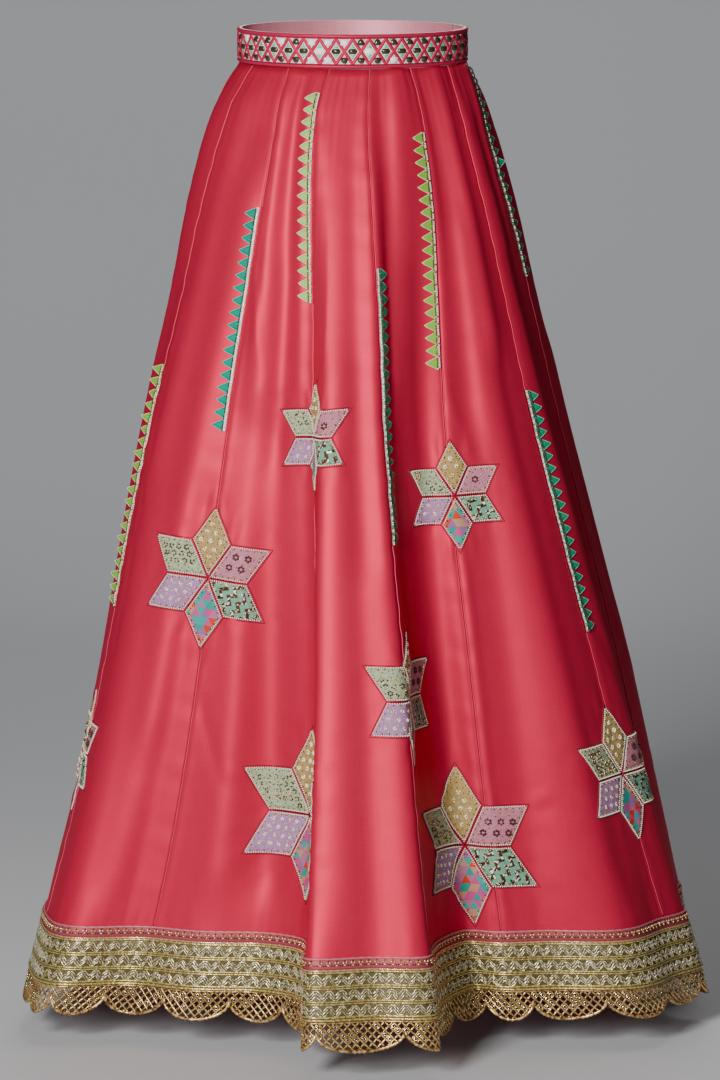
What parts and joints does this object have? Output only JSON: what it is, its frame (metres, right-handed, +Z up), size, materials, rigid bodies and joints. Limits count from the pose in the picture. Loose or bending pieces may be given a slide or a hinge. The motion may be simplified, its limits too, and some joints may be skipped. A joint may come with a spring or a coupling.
{
  "type": "lehenga skirt",
  "caption": "Long flared panelled skirt, worn form, with mirror-work waistband, star patches, saw-tooth seam trims and a gold border with scalloped net lace.",
  "frame": {"origin": "centre of the waistband's oval at half its height, where the wearer's waist holds the skirt", "axes": "+Z up along the wearer's body, -Y towards the front of the skirt, +X towards the wearer's left"},
  "size_m": [0.7431, 0.7171, 1.0519],
  "materials": {
    "raspberry_silk": "satin-weave silk blend, soft sheen",
    "mirror_band": "silver and rose embroidery with small mirrors",
    "lime_applique": "folded silk teeth with a beaded line",
    "light_lime_applique": "folded silk teeth with a beaded line",
    "teal_applique": "folded silk teeth with a beaded line",
    "mint_applique": "folded silk teeth with a beaded line",
    "patchwork": "brocade diamonds with bead outlines",
    "rose_trim": "rose ribbon with gold bead motifs",
    "gold_border": "antique gold thread and bead zigzag",
    "gold_net": "gold cord net with sequins"
  },
  "bodies": {
    "root": {"waistband": "mirror_band", "waistband_lap": "mirror_band", "side_placket": "raspberry_silk", "kali_01": "raspberry_silk", "kali_02": "raspberry_silk", "kali_03": "raspberry_silk", "kali_04": "raspberry_silk", "kali_05": "raspberry_silk", "kali_06": "raspberry_silk", "kali_07": "raspberry_silk", "kali_08": "raspberry_silk", "kali_09": "raspberry_silk", "kali_10": "raspberry_silk", "kali_11": "raspberry_silk", "kali_12": "raspberry_silk", "kali_13": "raspberry_silk", "kali_14": "raspberry_silk", "seam_trim_01": "lime_applique", "seam_trim_02": "teal_applique", "seam_trim_03": "light_lime_applique", "seam_trim_04": "mint_applique", "seam_trim_05": "lime_applique", "seam_trim_06": "mint_applique", "seam_trim_07": "mint_applique", "seam_trim_08": "light_lime_applique", "seam_trim_09": "teal_applique", "seam_trim_10": "lime_applique", "seam_trim_11": "mint_applique", "seam_trim_12": "teal_applique", "seam_trim_13": "lime_applique", "seam_trim_14": "mint_applique", "star_01": "patchwork", "star_02": "patchwork", "star_03": "patchwork", "star_04": "patchwork", "star_05": "patchwork", "star_06": "patchwork", "star_07": "patchwork", "star_08": "patchwork", "star_09": "patchwork", "star_10": "patchwork", "star_11": "patchwork", "star_12": "patchwork", "star_13": "patchwork", "star_14": "patchwork", "star_15": "patchwork", "star_16": "patchwork", "star_17": "patchwork", "star_18": "patchwork", "rose_trim": "rose_trim", "gold_border": "gold_border", "scalloped_lace": "gold_net"}
  },
  "joints": []
}
